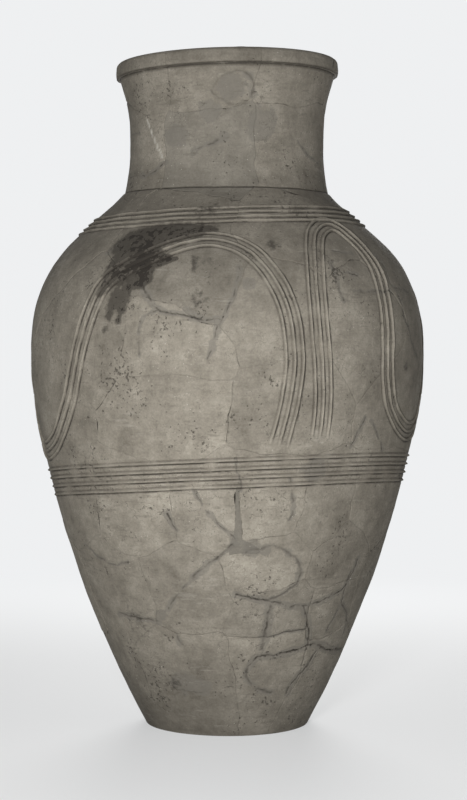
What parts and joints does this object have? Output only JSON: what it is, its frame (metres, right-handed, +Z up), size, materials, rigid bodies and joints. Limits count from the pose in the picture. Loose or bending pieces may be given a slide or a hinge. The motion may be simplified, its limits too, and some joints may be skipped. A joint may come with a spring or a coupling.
{
  "type": "ceramic storage jar",
  "caption": "Tall ovoid clay storage jar with a flaring neck, ridged bands and a wavy band of arches, put together again from sherds with plaster fills.",
  "frame": {"origin": "centre of the foot's underside, on the axis of the jar", "axes": "+Z up along the jar's axis; -Y is the front that the picture shows; +X to the right seen from the front"},
  "size_m": [0.7769, 0.7738, 1.3],
  "materials": {
    "belly_clay": "unglazed coarse clay, smoothed by hand, worn and pitted",
    "foot_clay": "unglazed coarse clay, smoothed by hand, worn and pitted",
    "lower_clay": "unglazed coarse clay, smoothed by hand, worn and pitted",
    "neck_clay": "unglazed coarse clay, smoothed by hand, worn and pitted",
    "plaster": "matt restorer's plaster, toned to the clay",
    "rim_clay": "unglazed coarse clay, smoothed by hand, worn and pitted",
    "shoulder_clay": "unglazed coarse clay, smoothed by hand, worn and pitted",
    "slab_clay": "unglazed coarse clay, smoothed by hand, worn and pitted",
    "upper_belly_clay": "unglazed coarse clay, smoothed by hand, worn and pitted",
    "waist_clay": "unglazed coarse clay, smoothed by hand, worn and pitted"
  },
  "bodies": {
    "root": {"base_slab": "slab_clay", "belly_1": "belly_clay", "belly_2": "belly_clay", "belly_3": "belly_clay", "belly_4": "belly_clay", "belly_5": "belly_clay", "belly_6": "belly_clay", "belly_7": "belly_clay", "foot_1": "foot_clay", "foot_2": "foot_clay", "foot_3": "foot_clay", "foot_4": "foot_clay", "foot_5": "foot_clay", "foot_6": "foot_clay", "lower_1": "lower_clay", "lower_10": "lower_clay", "lower_2": "lower_clay", "lower_3": "lower_clay", "lower_4": "lower_clay", "lower_5": "lower_clay", "lower_6": "lower_clay", "lower_7": "lower_clay", "lower_8": "lower_clay", "lower_9": "lower_clay", "neck_1": "neck_clay", "neck_2": "neck_clay", "neck_3": "neck_clay", "neck_4": "neck_clay", "neck_fill": "plaster", "rim_1": "rim_clay", "rim_2": "rim_clay", "rim_3": "rim_clay", "rim_4": "rim_clay", "rim_5": "rim_clay", "shoulder_1": "shoulder_clay", "shoulder_2": "shoulder_clay", "shoulder_3": "shoulder_clay", "shoulder_4": "shoulder_clay", "shoulder_5": "shoulder_clay", "shoulder_6": "shoulder_clay", "shoulder_7": "shoulder_clay", "upper_belly_1": "upper_belly_clay", "upper_belly_2": "upper_belly_clay", "upper_belly_3": "upper_belly_clay", "upper_belly_4": "upper_belly_clay", "upper_belly_5": "upper_belly_clay", "upper_belly_6": "upper_belly_clay", "upper_belly_7": "upper_belly_clay", "upper_belly_8": "upper_belly_clay", "upper_belly_9": "upper_belly_clay", "waist_1": "waist_clay", "waist_2": "waist_clay", "waist_3": "waist_clay", "waist_4": "waist_clay", "waist_5": "waist_clay", "waist_6": "waist_clay", "waist_7": "waist_clay", "waist_8": "waist_clay", "waist_9": "waist_clay", "wedge_fill": "plaster"}
  },
  "joints": []
}
